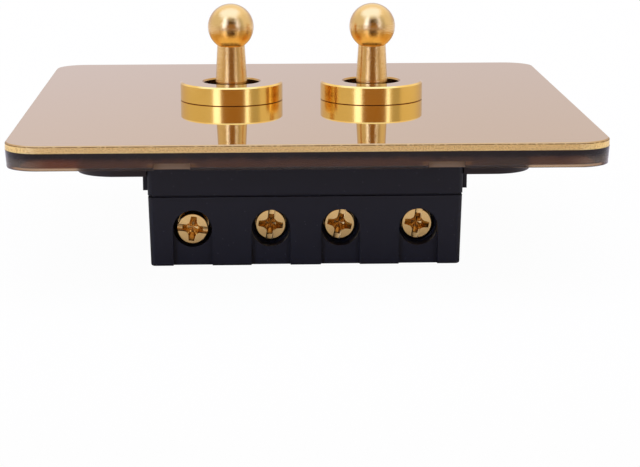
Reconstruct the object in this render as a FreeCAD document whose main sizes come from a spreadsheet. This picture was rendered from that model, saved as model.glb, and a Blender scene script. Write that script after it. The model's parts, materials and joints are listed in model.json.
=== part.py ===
"""Two-gang dolly switch on a square brass face plate.

Frame: origin at the centre of the housing's bottom, +X along the row of levers,
+Y from the terminal face towards the back, +Z out through the face plate.
"""
import FreeCAD, Part
import math
import os
import Sketcher

doc = FreeCAD.newDocument("dolly_switch")
sheet = doc.addObject("Spreadsheet::Sheet", "Sizes")

# Driving dimensions in millimetres and degrees
SIZES = {
    "plate_side": 86.0,
    "plate_corner": 5.0,
    "plate_thickness": 1.1,
    "plate_edge_chamfer": 0.2,
    "cover_standoff": 4.25,
    "spigot_hole_play": 0.1,
    "frame_height": 2.5,
    "frame_web": 1.0,
    "frame_wall": 1.8,
    "frame_inset": 0.15,
    "frame_lip_wall": 0.8,
    "frame_lip_height": 0.35,
    "pry_spacing": 38.6,
    "pry_width": 5.1,
    "pry_height": 1.0,
    "pry_depth": 0.9,
    "clip_width": 6.0,
    "clip_arm": 1.0,
    "clip_hook": 0.8,
    "clip_hook_height": 0.9,
    "clip_play": 0.1,
    "ring_radius": 8.2,
    "ring_height": 2.94,
    "lever_clearance": 0.45,
    "ring_chamfer": 0.25,
    "ring_foot_chamfer": 0.1,
    "spigot_wall": 1.025,
    "spigot_length": 4.2,
    "nut_wall": 1.5,
    "nut_thickness": 1.6,
    "thread_play": 0.05,
    "yoke_ear_end": 1.65,
    "yoke_setback": 0.65,
    "yoke_corner": 6.0,
    "yoke_thickness": 2.2,
    "yoke_hole_spacing": 60.3,
    "yoke_slot_length": 6.0,
    "yoke_slot_width": 4.2,
    "yoke_notch": 1.3,
    "rail_edge": 0.1,
    "rail_wall": 1.4,
    "rail_lip": 0.7,
    "rail_lip_height": 0.9,
    "rail_height": 2.25,
    "rail_width": 8.0,
    "deck_wall": 0.45,
    "deck_depth": 30.0,
    "deck_rise": 1.15,
    "deck_ceiling": 1.8,
    "deck_play": 0.2,
    "catch_width": 6.0,
    "catch_height": 0.8,
    "catch_proud": 0.5,
    "shell_overhang": 0.3,
    "flange_height": 3.13,
    "seam_groove": 0.35,
    "seam_groove_depth": 0.6,
    "rim_height": 1.9,
    "lug_proud": 0.75,
    "lug_height": 2.27,
    "lug_width": 6.0,
    "lug_spacing": 35.0,
    "side_wall": 3.75,
    "base_draft": 1.4,
    "housing_corner": 0.7,
    "base_foot_radius": 0.35,
    "base_floor": 1.5,
    "chamber_front_room": 1.8,
    "chamber_back_room": 2.0,
    "chamber_wall": 0.9,
    "cavity_half_depth": 8.5,
    "pivot_above_seam": 2.28,
    "pivot_pin_radius": 1.0,
    "pivot_seat": 1.3,
    "pivot_seat_play": 0.02,
    "running_play": 0.05,
    "rest_tilt": 5.0,
    "cradle_barrel_radius": 1.8,
    "cradle_side_play": 0.3,
    "collar_radius": 2.9,
    "collar_height": 4.4,
    "collar_play": 0.35,
    "stem_radius": 2.0,
    "pin_cover": 0.7,
    "spring_tube_radius": 2.4,
    "plunger_guide": 0.8,
    "spring_bore_radius": 1.5,
    "plunger_play": 0.08,
    "plunger_length": 1.5,
    "nose_length": 0.92,
    "plunger_nose_radius": 0.8,
    "plunger_back": 4.6,
    "spring_wire_radius": 0.17,
    "spring_turns": 4.0,
    "spring_end_play": 0.02,
    "dolly_base_radius": 2.95,
    "neck_radius": 2.2,
    "ball_radius": 3.65,
    "ball_height": 21.35,
    "rocker_ratio": 1.4,
    "rocker_width": 5.0,
    "rocker_thickness": 0.7,
    "saddle_height": 1.0,
    "saddle_half_length": 1.9,
    "saddle_foot": 0.5,
    "saddle_floor": 0.45,
    "nose_play": 0.03,
    "stub_radius": 0.7,
    "stub_length": 1.3,
    "ear_gap": 0.45,
    "strip_thickness": 0.7,
    "strip_width": 2.2,
    "strip_gap": 0.422,
    "ear_half_width": 1.6,
    "ear_rise": 0.9,
    "rivet_radius": 1.4,
    "rivet_height": 0.55,
    "rivet_dome_radius": 3.0,
    "rivet_reach": 5.6,
    "contact_play": 0.03,
    "terminal_offset": 5.95,
    "terminal_height": 5.75,
    "block_width": 5.2,
    "block_length": 6.2,
    "block_height": 7.5,
    "post_half_width": 2.55,
    "block_play": 0.3,
    "tab_width": 4.4,
    "tab_height": 7.0,
    "wire_hole_radius": 1.6,
    "wire_hole_depth": 6.1,
    "wire_entry_radius": 1.8,
    "tunnel_radius": 2.95,
    "tunnel_ledge": 0.25,
    "tunnel_ledge_depth": 3.6,
    "channel_width": 5.95,
    "channel_depth": 0.85,
    "screw_head_radius": 2.3,
    "screw_head_height": 1.8,
    "screw_shank_radius": 1.45,
    "screw_length": 4.6,
    "screw_slot_width": 0.7,
    "screw_cross_width": 0.9,
    "screw_cross_length": 3.0,
    "screw_slot_depth": 0.8,
    "screw_tunnel_depth": 4.95,
    "screw_head_play": 0.15,
    "open_screw_out": 2.6,
    "front_screw_inset": 1.7,
    "back_screw_inset": 1.0,
    "housing_screw_radius": 1.1,
    "housing_screw_cover": 0.6,
    "housing_head_radius": 2.0,
    "housing_head_height": 1.3,
    "housing_head_recess": 0.4,
    "housing_hole_play": 0.15,
}
for row, (name, number) in enumerate(SIZES.items(), start=1):
    sheet.set("A%d" % row, name)
    sheet.set("B%d" % row, str(number))
    sheet.setAlias("B%d" % row, name)
doc.recompute()


class Size:
    """A number together with the spreadsheet formula that gives it."""

    def __init__(self, value, formula):
        self.value = value
        self.formula = formula

    def __add__(self, other):
        other = as_size(other)
        return Size(self.value + other.value, "(%s + %s)" % (self.formula, other.formula))

    def __sub__(self, other):
        other = as_size(other)
        return Size(self.value - other.value, "(%s - %s)" % (self.formula, other.formula))

    def __mul__(self, other):
        other = as_size(other)
        return Size(self.value * other.value, "(%s * %s)" % (self.formula, other.formula))

    def __truediv__(self, other):
        other = as_size(other)
        return Size(self.value / other.value, "(%s / %s)" % (self.formula, other.formula))

    def __neg__(self):
        return Size(-self.value, "(0 - %s)" % self.formula)

    __radd__ = __add__
    __rmul__ = __mul__

    def __rsub__(self, other):
        return as_size(other) - self


def as_size(number):
    """Turn a plain number into a Size, and leave a Size as it is."""
    if isinstance(number, Size):
        return number
    return Size(float(number), repr(float(number)))


def root(size):
    """Square root of a Size."""
    return Size(math.sqrt(size.value), "sqrt(%s)" % size.formula)


def sine(angle):
    """Sine of a Size in degrees."""
    return Size(math.sin(math.radians(angle.value)), "sin(%s * 1 deg)" % angle.formula)


def cosine(angle):
    """Cosine of a Size in degrees."""
    return Size(math.cos(math.radians(angle.value)), "cos(%s * 1 deg)" % angle.formula)


class Cells:
    """The spreadsheet's named cells, read as attributes."""

    def __getattr__(self, name):
        return Size(SIZES[name], "Sizes." + name)


s = Cells()


def bind(thing, path, size):
    """Tie one property of an object to the spreadsheet."""
    thing.setExpression(path, as_size(size).formula)


def place(thing, x, y, z):
    """Tie an object's position to the spreadsheet."""
    bind(thing, "Placement.Base.x", x)
    bind(thing, "Placement.Base.y", y)
    bind(thing, "Placement.Base.z", z)


def span(centre, width):
    """Low and high end of a width about a centre."""
    return centre - width / 2, centre + width / 2


def box(name, x, y, z):
    """Block between two corners, each side given as a low and high pair."""
    block = doc.addObject("Part::Box", name)
    for side, (low, high) in zip(("Length", "Width", "Height"), (x, y, z)):
        bind(block, side, high - low)
    place(block, x[0], y[0], z[0])
    return block


def cylinder(name, radius, along, ends, centre):
    """Round bar along X, Y or Z between two ends, about a centre in the other two axes."""
    bar = doc.addObject("Part::Cylinder", name)
    bind(bar, "Radius", radius)
    bind(bar, "Height", ends[1] - ends[0])
    if along == "X":
        bar.Placement.Rotation = FreeCAD.Rotation(FreeCAD.Vector(0, 1, 0), 90)
        place(bar, ends[0], centre[0], centre[1])
    elif along == "Y":
        bar.Placement.Rotation = FreeCAD.Rotation(FreeCAD.Vector(1, 0, 0), -90)
        place(bar, centre[0], ends[0], centre[1])
    else:
        place(bar, centre[0], centre[1], ends[0])
    return bar


def fuse(name, pieces):
    """One solid from several that touch or overlap."""
    union = doc.addObject("Part::MultiFuse", name)
    union.Shapes = pieces
    return union


def cut(name, base, tools):
    """A base with one or more tools taken out of it."""
    result = doc.addObject("Part::Cut", name)
    result.Base = base
    result.Tool = tools[0] if len(tools) == 1 else fuse(name + "_tools", tools)
    return result


def group(name, pieces):
    """Several like solids that share one file."""
    compound = doc.addObject("Part::Compound", name)
    compound.Links = pieces
    return compound


def new_sketch(body, name, role):
    """Empty sketch on one of a body's own origin planes."""
    sketch = body.newObject("Sketcher::SketchObject", name)
    plane = [item for item in body.Origin.OriginFeatures if item.Role == role][0]
    sketch.AttachmentSupport = (plane, [""])
    sketch.MapMode = "FlatFace"
    return sketch


def pin_point(sketch, geometry, end, x, y):
    """Fix one end of a sketch element by coordinates tied to the spreadsheet."""
    for kind, axis, size in (("DistanceX", -2, as_size(x)), ("DistanceY", -1, as_size(y))):
        if abs(size.value) < 1e-9:
            sketch.addConstraint(Sketcher.Constraint("PointOnObject", geometry, end, axis))
            continue
        number = sketch.addConstraint(Sketcher.Constraint(kind, -1, 1, geometry, end, size.value))
        sketch.setExpression("Constraints[%d]" % number, size.formula)


def outline(sketch, points, arcs=None):
    """Closed outline through points; an entry in arcs gives the arc that follows its point.

    An arc entry is (radius, side): side 1 bulges to the right of the way round, -1 to the left.
    """
    arcs = arcs or {}
    places = [FreeCAD.Vector(as_size(x).value, as_size(y).value, 0) for x, y in points]
    ends = []
    for index, start in enumerate(places):
        stop = places[(index + 1) % len(places)]
        if index not in arcs:
            sketch.addGeometry(Part.LineSegment(start, stop))
            ends.append((1, 2))
            continue
        radius, side = arcs[index]
        chord = stop - start
        middle = (start + stop) * 0.5
        across = FreeCAD.Vector(chord.y, -chord.x, 0).normalize()
        rise = math.sqrt(as_size(radius).value ** 2 - (chord.Length / 2) ** 2)
        centre = middle - across * side * rise
        first, last = (start, stop) if side > 0 else (stop, start)
        angles = [math.atan2(end.y - centre.y, end.x - centre.x) for end in (first, last)]
        circle = Part.Circle(centre, FreeCAD.Vector(0, 0, 1), as_size(radius).value)
        geometry = sketch.addGeometry(Part.ArcOfCircle(circle, *angles))
        ends.append((1, 2) if side > 0 else (2, 1))
        number = sketch.addConstraint(Sketcher.Constraint("Radius", geometry, as_size(radius).value))
        sketch.setExpression("Constraints[%d]" % number, as_size(radius).formula)
    for index in range(len(points)):
        after = (index + 1) % len(points)
        joined = Sketcher.Constraint("Coincident", index, ends[index][1], after, ends[after][0])
        sketch.addConstraint(joined)
        pin_point(sketch, index, ends[index][0], *points[index])


def tapered(name, radii, along, ends, centre):
    """Round taper along Y between two ends, with a radius at each end, about a centre in x and z."""
    taper = doc.addObject("Part::Cone", name)
    bind(taper, "Radius1", radii[0])
    bind(taper, "Radius2", radii[1])
    bind(taper, "Height", (ends[1] - ends[0]) * along)
    taper.Placement.Rotation = FreeCAD.Rotation(FreeCAD.Vector(1, 0, 0), -90 * along)
    place(taper, centre[0], ends[0], centre[1])
    return taper


def turned(name, profile, arcs=None):
    """Turned piece: a profile of radius and height, revolved about Z."""
    body = doc.addObject("PartDesign::Body", name)
    sketch = new_sketch(body, name + "_profile", "XZ_Plane")
    outline(sketch, profile, arcs)
    spin = body.newObject("PartDesign::Revolution", name + "_turned")
    spin.Profile = sketch
    spin.ReferenceAxis = (sketch, ["V_Axis"])
    spin.Angle = 360.0
    sketch.Visibility = False
    return body


def pressed(name, role, profile, thickness, arcs=None):
    """Profile on an origin plane, thickened evenly to both sides of it."""
    body = doc.addObject("PartDesign::Body", name)
    sketch = new_sketch(body, name + "_profile", role)
    outline(sketch, profile, arcs)
    pad = body.newObject("PartDesign::Pad", name + "_pad")
    pad.Profile = sketch
    pad.Midplane = True
    bind(pad, "Length", thickness)
    return body


def edge_names(shape, wanted):
    """Names of the edges that pass a test."""
    return ["Edge%d" % number for number, edge in enumerate(shape.Edges, start=1) if wanted(edge)]


def slab(name, width, depth, z, corner, draft=None):
    """Upright block with rounded corners; a draft lets its sides lean outwards as they rise."""
    body = doc.addObject("PartDesign::Body", name)
    sketch = new_sketch(body, name + "_outline", "XY_Plane")
    right, back = width / 2, depth / 2
    outline(sketch, [(-right, -back), (right, -back), (right, back), (-right, back)])
    pad = body.newObject("PartDesign::Pad", name + "_pad")
    pad.Profile = sketch
    bind(pad, "Length", z[1] - z[0])
    if draft is not None:
        bind(pad, "TaperAngle", draft)
    doc.recompute()
    rounded = body.newObject("PartDesign::Fillet", name + "_corners")
    tall = 0.9 * (z[1] - z[0]).value
    rounded.Base = (pad, edge_names(pad.Shape, lambda edge: edge.BoundBox.ZLength > tall))
    bind(rounded, "Radius", corner)
    bind(body, "Placement.Base.z", z[0])
    doc.recompute()
    return body


# Heights that several pieces share, from the housing's floor up to the face plate
rocker_tilt = s.rest_tilt * s.rocker_ratio
strip_bottom = s.base_floor + s.strip_thickness + s.strip_gap
contact_level = strip_bottom + s.strip_thickness + s.rivet_height
dome_centre = s.rivet_dome_radius - s.rivet_height - s.rocker_thickness / 2
rivet_drop = s.rivet_dome_radius + s.rivet_reach * sine(rocker_tilt) - dome_centre * cosine(rocker_tilt)
rocker_height = contact_level + s.contact_play + rivet_drop
nose_reach = s.plunger_back + s.plunger_length + s.nose_length
pivot_height = rocker_height + s.saddle_floor + s.nose_play + nose_reach
seam_height = pivot_height - s.pivot_above_seam
yoke_underside = seam_height + s.flange_height
yoke_top = yoke_underside + s.yoke_thickness
deck_top = yoke_top + s.deck_rise
web_underside = yoke_top + s.cover_standoff
plate_underside = web_underside + s.frame_web
plate_top = plate_underside + s.plate_thickness
frame_bottom = plate_underside - s.frame_height

# Widths, from one gang's mechanism out to the housing's sides
cavity_half_width = s.terminal_offset + s.strip_width / 2 - s.running_play
chamber_half_width = cavity_half_width + s.pivot_seat + s.block_play
gang_pitch = (s.terminal_offset + (s.block_width + s.block_play) / 2 + s.post_half_width) * 2
deck_width = gang_pitch + (cavity_half_width + s.pivot_seat + s.deck_wall) * 2
base_width = gang_pitch + (chamber_half_width + s.side_wall) * 2
shell_width = base_width + s.shell_overhang * 2
yoke_width = s.yoke_hole_spacing + s.yoke_slot_length + s.yoke_ear_end * 2

# Depths, from the rocking contact out to the terminal face
rocker_half_length = s.rivet_reach + s.rivet_radius
chamber_front = rocker_half_length + s.chamber_front_room
chamber_back = rocker_half_length + s.chamber_back_room
block_inner = chamber_front + s.chamber_wall + s.strip_thickness + s.block_play
block_front = block_inner + s.block_length
wire_y = block_inner + s.block_length / 2
base_depth = (block_front + s.screw_tunnel_depth) * 2
shell_depth = base_depth + s.shell_overhang * 2
yoke_depth = shell_depth - s.yoke_setback * 2
rail_offset = yoke_depth / 2 - s.yoke_notch - s.rail_wall - s.rail_edge

# Round sizes that the lever's swing and the ring set
lever_sway = (plate_top + s.ring_height - pivot_height) * sine(s.rest_tilt)
ring_bore_radius = lever_sway + s.dolly_base_radius + s.lever_clearance
spigot_radius = ring_bore_radius + s.spigot_wall
spigot_clear_radius = spigot_radius + s.spigot_hole_play
nut_across_flats = (spigot_radius + s.nut_wall) * 2
stem_depth = s.collar_height - s.pivot_pin_radius - s.pin_cover
spring_bore_roof = s.pivot_pin_radius + s.pin_cover
spring_tube_length = s.plunger_back + s.plunger_guide

GANGS = {"left": gang_pitch / -2, "right": gang_pitch / 2}
SIDES = (-1, 1)
nodes = {}


def keep(name, thing):
    """Label a finished sub-part, which also names its file."""
    thing.Label = name
    nodes[name] = thing
    return thing


def lever_frame(thing, gang_x):
    """Seat a piece modelled about the lever's pivot, at the lever's rest tilt."""
    thing.Placement.Rotation = FreeCAD.Rotation(FreeCAD.Vector(1, 0, 0), s.rest_tilt.value)
    bind(thing, "Placement.Rotation.Angle", s.rest_tilt)
    place(thing, gang_x, as_size(0), pivot_height)


def rocker_frame(thing, gang_x):
    """Seat a piece modelled about the rocking contact's pivot, at its rest tilt."""
    thing.Placement.Rotation = FreeCAD.Rotation(FreeCAD.Vector(-1, 0, 0), rocker_tilt.value)
    bind(thing, "Placement.Rotation.Angle", rocker_tilt)
    place(thing, gang_x, as_size(0), rocker_height)


def face_plate():
    """Polished square plate with rounded corners and a hole for each ring's spigot."""
    sheet_metal = slab("plate_blank", s.plate_side, s.plate_side,
                       (plate_underside, plate_top), s.plate_corner)
    last = sheet_metal.Tip
    top = s.plate_thickness.value - 0.001
    bevel = sheet_metal.newObject("PartDesign::Chamfer", "plate_bevel")
    bevel.Base = (last, edge_names(last.Shape, lambda edge: edge.BoundBox.ZMin > top))
    bind(bevel, "Size", s.plate_edge_chamfer)
    holes = [cylinder("plate_hole_" + side, spigot_clear_radius, "Z",
                      (plate_underside, plate_top), (gang_x, as_size(0)))
             for side, gang_x in GANGS.items()]
    keep("face_plate", cut("face_plate", sheet_metal, holes))


def clip_places():
    """Centre x and side in y of the four snap clips between the cover and the yoke."""
    return [(s.pry_spacing / 2 * across, along) for across in SIDES for along in SIDES]


def cover_frame():
    """Moulded tray behind the plate: web, drafted rim with a thin lip, pry recesses and snap hooks."""
    bottom_side = s.plate_side - s.frame_inset * 2
    lean = Size(math.degrees(math.atan(s.frame_inset.value / s.frame_height.value)),
                "atan(Sizes.frame_inset / Sizes.frame_height)")
    outside = slab("frame_outside", bottom_side, bottom_side,
                   (frame_bottom, plate_underside), s.plate_corner - s.frame_inset, lean)
    hollow_side = bottom_side - s.frame_wall * 2
    hollow = slab("frame_hollow", hollow_side, hollow_side,
                  (frame_bottom, web_underside), s.plate_corner - s.frame_wall)
    lip_side = bottom_side - s.frame_lip_wall * 2
    lip = slab("frame_lip", lip_side, lip_side,
               (frame_bottom, frame_bottom + s.frame_lip_height), s.plate_corner - s.frame_lip_wall)
    tools = [hollow, lip]
    for side, gang_x in GANGS.items():
        tools.append(cylinder("frame_hole_" + side, spigot_clear_radius, "Z",
                              (web_underside, plate_underside), (gang_x, as_size(0))))
    front = s.plate_side / -2
    for number, across in enumerate(SIDES):
        tools.append(box("pry_recess_%d" % number,
                         span(s.pry_spacing / 2 * across, s.pry_width),
                         (front, front + s.pry_depth + s.frame_inset),
                         (frame_bottom, frame_bottom + s.pry_height)))
    tray = cut("frame_tray", outside, tools)
    pieces = [tray]
    hollow_face = bottom_side / -2 + s.frame_wall
    for number, across in enumerate(SIDES):
        pieces.append(box("pry_back_%d" % number,
                          span(s.pry_spacing / 2 * across, s.pry_width),
                          (front + s.pry_depth + s.frame_inset, hollow_face),
                          (frame_bottom, frame_bottom + s.pry_height)))
    arm_inner = rail_offset + s.rail_wall + s.rail_lip + s.clip_play
    hook_top = yoke_top + s.rail_height - s.rail_lip_height - s.clip_play
    for number, (clip_x, along) in enumerate(clip_places()):
        arm_y = (arm_inner * along, (arm_inner + s.clip_arm) * along)
        hook_y = ((arm_inner - s.clip_hook) * along, (arm_inner + s.clip_arm) * along)
        pieces.append(box("clip_arm_%d" % number, span(clip_x, s.clip_width),
                          ordered(arm_y), (hook_top - s.clip_hook_height, web_underside)))
        pieces.append(box("clip_hook_%d" % number, span(clip_x, s.clip_width),
                          ordered(hook_y), (hook_top - s.clip_hook_height, hook_top)))
    keep("cover_frame", fuse("cover_frame", pieces))


def ordered(pair):
    """The same two sizes, the lower one first."""
    return pair if pair[0].value < pair[1].value else (pair[1], pair[0])


def bezel_ring(side, gang_x):
    """Turned ring on the plate; its threaded spigot passes through plate and tray."""
    foot = plate_top
    crown = foot + s.ring_height
    tip = foot - s.spigot_length
    ring = turned("bezel_ring_" + side, [
        (ring_bore_radius, tip),
        (spigot_radius, tip),
        (spigot_radius, foot),
        (s.ring_radius - s.ring_foot_chamfer, foot),
        (s.ring_radius, foot + s.ring_foot_chamfer),
        (s.ring_radius, crown - s.ring_chamfer),
        (s.ring_radius - s.ring_chamfer, crown),
        (ring_bore_radius + s.ring_chamfer, crown),
        (ring_bore_radius, crown - s.ring_chamfer),
    ])
    bind(ring, "Placement.Base.x", gang_x)
    keep("bezel_ring_" + side, ring)


def ring_nut(side, gang_x):
    """Hexagon nut that draws the ring, plate and tray together."""
    corner = nut_across_flats / 2 * Size(2 / math.sqrt(3), "(2 / sqrt(3))")
    flat = nut_across_flats / 2
    half = corner / 2
    body = doc.addObject("PartDesign::Body", "nut_blank_" + side)
    sketch = new_sketch(body, "nut_outline_" + side, "XY_Plane")
    outline(sketch, [(half, -flat), (corner, as_size(0)), (half, flat),
                     (-half, flat), (-corner, as_size(0)), (-half, -flat)])
    pad = body.newObject("PartDesign::Pad", "nut_pad_" + side)
    pad.Profile = sketch
    bind(pad, "Length", s.nut_thickness)
    place(body, gang_x, as_size(0), web_underside - s.nut_thickness)
    bore = cylinder("nut_bore_" + side, spigot_radius + s.thread_play, "Z",
                    (web_underside - s.nut_thickness, web_underside), (gang_x, as_size(0)))
    keep("ring_nut_" + side, cut("ring_nut_" + side, body, [bore]))


def mounting_yoke():
    """Flat yoke with rounded ears, a slot in each ear and four catch rails for the cover.

    Its front and back edges step in where the housing's rims stand up beside it.
    """
    blank = slab("yoke_blank", yoke_width, yoke_depth, (yoke_underside, yoke_top), s.yoke_corner)
    through = (yoke_underside, yoke_top)
    tools = [box("yoke_window", span(as_size(0), deck_width + s.deck_play * 2),
                 span(as_size(0), s.deck_depth + s.deck_play * 2), through)]
    for number, across in enumerate(SIDES):
        edge = yoke_depth / 2 * across
        tools.append(box("yoke_notch_%d" % number, span(as_size(0), shell_width + s.deck_play * 2),
                         ordered((edge, edge - s.yoke_notch * across)), through))
        slot_x = s.yoke_hole_spacing / 2 * across
        straight = s.yoke_slot_length - s.yoke_slot_width
        tools.append(box("slot_middle_%d" % number, span(slot_x, straight),
                         span(as_size(0), s.yoke_slot_width), through))
        for end, shift in enumerate(SIDES):
            tools.append(cylinder("slot_end_%d_%d" % (number, end), s.yoke_slot_width / 2, "Z",
                                  through, (slot_x + straight / 2 * shift, as_size(0))))
    flat = cut("yoke_flat", blank, tools)
    pieces = [flat]
    rail_top = yoke_top + s.rail_height
    for number, (clip_x, along) in enumerate(clip_places()):
        inner = rail_offset * along
        wall = (rail_offset + s.rail_wall) * along
        lip = (rail_offset + s.rail_wall + s.rail_lip) * along
        pieces.append(box("rail_wall_%d" % number, span(clip_x, s.rail_width),
                          ordered((inner, wall)), (yoke_top, rail_top)))
        pieces.append(box("rail_lip_%d" % number, span(clip_x, s.rail_width),
                          ordered((inner, lip)), (rail_top - s.rail_lip_height, rail_top)))
    keep("mounting_yoke", fuse("mounting_yoke", pieces))


def housing_screw_places():
    """The two long screws that hold the housing's halves together."""
    return {"front": s.front_screw_inset - s.deck_depth / 2, "back": s.deck_depth / 2 - s.back_screw_inset}


def housing_top():
    """Upper half of the housing: flange, raised deck, lever slots and pivot seats."""
    level = seam_height
    flange = slab("top_flange", shell_width, shell_depth, (level, yoke_underside), s.housing_corner)
    deck = box("top_deck", span(as_size(0), deck_width), span(as_size(0), s.deck_depth),
               (yoke_underside, deck_top))
    rim_z = (yoke_underside, yoke_underside + s.rim_height)
    rim_inner = yoke_depth / 2 - s.yoke_notch + s.clip_play
    rims = cut("top_rims", slab("rim_blank", shell_width, shell_depth, rim_z, s.housing_corner),
               [box("rim_gap", span(as_size(0), shell_width), span(as_size(0), rim_inner * 2), rim_z)])
    pieces = [flange, deck, rims]
    for across in SIDES:
        wall_x = shell_width / 2 * across
        for along in SIDES:
            tag = "%d_%d" % (across > 0, along > 0)
            lug_x = ordered((wall_x - s.lug_proud * across, wall_x + s.lug_proud * across))
            pieces.append(box("top_lug_" + tag, lug_x, span(s.lug_spacing / 2 * along, s.lug_width),
                              (yoke_underside - s.lug_height, yoke_underside)))
            catch_y = ordered((s.deck_depth / 2 * along,
                               (s.deck_depth / 2 + s.deck_play + s.catch_proud) * along))
            pieces.append(box("top_catch_" + tag, span(gang_pitch / 2 * across, s.catch_width),
                              catch_y, (yoke_top, yoke_top + s.catch_height)))
    moulding = fuse("top_moulding", pieces)
    band = slab("seam_band", shell_width + s.lug_proud * 4, shell_depth + s.lug_proud * 4,
                (level, level + s.seam_groove), s.housing_corner)
    core = slab("seam_core", shell_width - s.seam_groove_depth * 2,
                shell_depth - s.seam_groove_depth * 2,
                (level, level + s.seam_groove), s.housing_corner)
    tools = [cut("seam_ring", band, [core])]
    slot_half_width = s.collar_radius + s.collar_play
    slot_half_depth = slot_half_width + s.collar_height * sine(s.rest_tilt)
    ceiling = deck_top - s.deck_ceiling
    seat_end = cavity_half_width + s.pivot_seat + s.pivot_seat_play
    for side, gang_x in GANGS.items():
        tools.append(box("top_cavity_" + side, span(gang_x, cavity_half_width * 2),
                         span(as_size(0), s.cavity_half_depth * 2), (level, ceiling)))
        tools.append(box("lever_slot_" + side, span(gang_x, slot_half_width * 2),
                         span(as_size(0), slot_half_depth * 2), (ceiling, deck_top)))
        seat_radius = s.pivot_pin_radius + s.pivot_seat_play
        tools.append(cylinder("pin_seat_" + side, seat_radius, "X",
                              (gang_x - seat_end, gang_x + seat_end), (as_size(0), pivot_height)))
        tools.append(box("pin_entry_" + side, (gang_x - seat_end, gang_x + seat_end),
                         span(as_size(0), seat_radius * 2), (level, pivot_height)))
    pilot_top = yoke_underside - s.housing_screw_cover
    for name, screw_y in housing_screw_places().items():
        tools.append(cylinder("pilot_" + name, s.housing_screw_radius, "Z",
                              (level, pilot_top), (as_size(0), screw_y)))
    keep("housing_top", cut("housing_top", moulding, tools))


def terminal_places():
    """Every terminal: name, x, side in y and whether its screw stands open."""
    places = []
    for side, gang_x in GANGS.items():
        places.append((side + "_first", gang_x - s.terminal_offset, -1, side == "left"))
        places.append((side + "_second", gang_x + s.terminal_offset, -1, False))
        places.append((side + "_common", gang_x, 1, False))
    return places


def housing_base():
    """Lower half: drafted block with contact chambers, terminal pockets, tunnels and wire holes."""
    level = seam_height
    block = slab("base_block", base_width, base_depth, (as_size(0), level),
                 s.housing_corner, s.base_draft)
    last = block.Tip
    foot = block.newObject("PartDesign::Fillet", "base_foot")
    foot.Base = (last, edge_names(last.Shape, lambda edge: edge.BoundBox.ZMax < 0.001))
    bind(foot, "Radius", s.base_foot_radius)
    tools = []
    pocket_width = s.block_width + s.block_play
    arm_slot = s.strip_width + s.block_play
    face = shell_depth / 2 + s.seam_groove_depth
    for side, gang_x in GANGS.items():
        tools.append(box("base_chamber_" + side, span(gang_x, chamber_half_width * 2),
                         (-chamber_front, chamber_back), (s.base_floor, level)))
    for name, x, along, is_open in terminal_places():
        wall = chamber_front if along < 0 else chamber_back
        pocket_end = block_front + s.contact_play * 4
        pocket = ordered(((wall + s.chamber_wall) * along, pocket_end * along))
        tools.append(box("pocket_" + name, span(x, pocket_width), pocket, (s.base_floor, level)))
        gate = ordered((wall * along, (wall + s.chamber_wall) * along))
        tools.append(box("gate_" + name, span(x, arm_slot), gate, (s.base_floor, level)))
        ledge = base_depth / 2 - s.tunnel_ledge_depth
        centre = (x, s.terminal_height)
        inner_radius = s.tunnel_radius - s.tunnel_ledge
        tools.append(cylinder("tunnel_end_" + name, inner_radius, "Y",
                              ordered((pocket_end * along, ledge * along)), centre))
        tools.append(tapered("tunnel_ledge_" + name, (inner_radius, s.tunnel_radius), along,
                             (ledge * along, (ledge + s.tunnel_ledge) * along), centre))
        tools.append(cylinder("tunnel_" + name, s.tunnel_radius, "Y",
                              ordered(((ledge + s.tunnel_ledge) * along, face * along)), centre))
        channel = ordered(((base_depth / 2 - s.channel_depth) * along, face * along))
        tools.append(box("channel_" + name, span(x, s.channel_width), channel,
                         (as_size(0), s.terminal_height)))
        tools.append(cylinder("wire_entry_" + name, s.wire_entry_radius, "Z",
                              (as_size(0), s.base_floor), (x, wire_y * along)))
    for name, screw_y in housing_screw_places().items():
        tools.append(cylinder("screw_way_" + name, s.housing_screw_radius + s.housing_hole_play, "Z",
                              (as_size(0), level), (as_size(0), screw_y)))
        tools.append(cylinder("head_seat_" + name, s.housing_head_radius + s.housing_hole_play, "Z",
                              (as_size(0), s.housing_head_recess + s.housing_head_height),
                              (as_size(0), screw_y)))
    hollowed = cut("base_hollowed", block, tools)
    pieces = [hollowed]
    keeper_inner = cavity_half_width + s.block_play
    keeper_outer = cavity_half_width + s.pivot_seat
    keeper_top = pivot_height - s.pivot_pin_radius - s.contact_play
    for side, gang_x in GANGS.items():
        for across in SIDES:
            keeper = ordered((gang_x + keeper_inner * across, gang_x + keeper_outer * across))
            pieces.append(box("pin_keeper_%s_%d" % (side, across > 0), keeper,
                              span(as_size(0), s.pivot_pin_radius * 1.8), (s.base_floor, keeper_top)))
            ledge_x = gang_x + s.terminal_offset * across
            pieces.append(box("strip_ledge_%s_%d" % (side, across > 0), span(ledge_x, s.strip_width),
                              (-chamber_front, s.chamber_wall - chamber_front),
                              (s.base_floor, strip_bottom)))
    keep("housing_base", fuse("housing_base", pieces))


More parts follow.
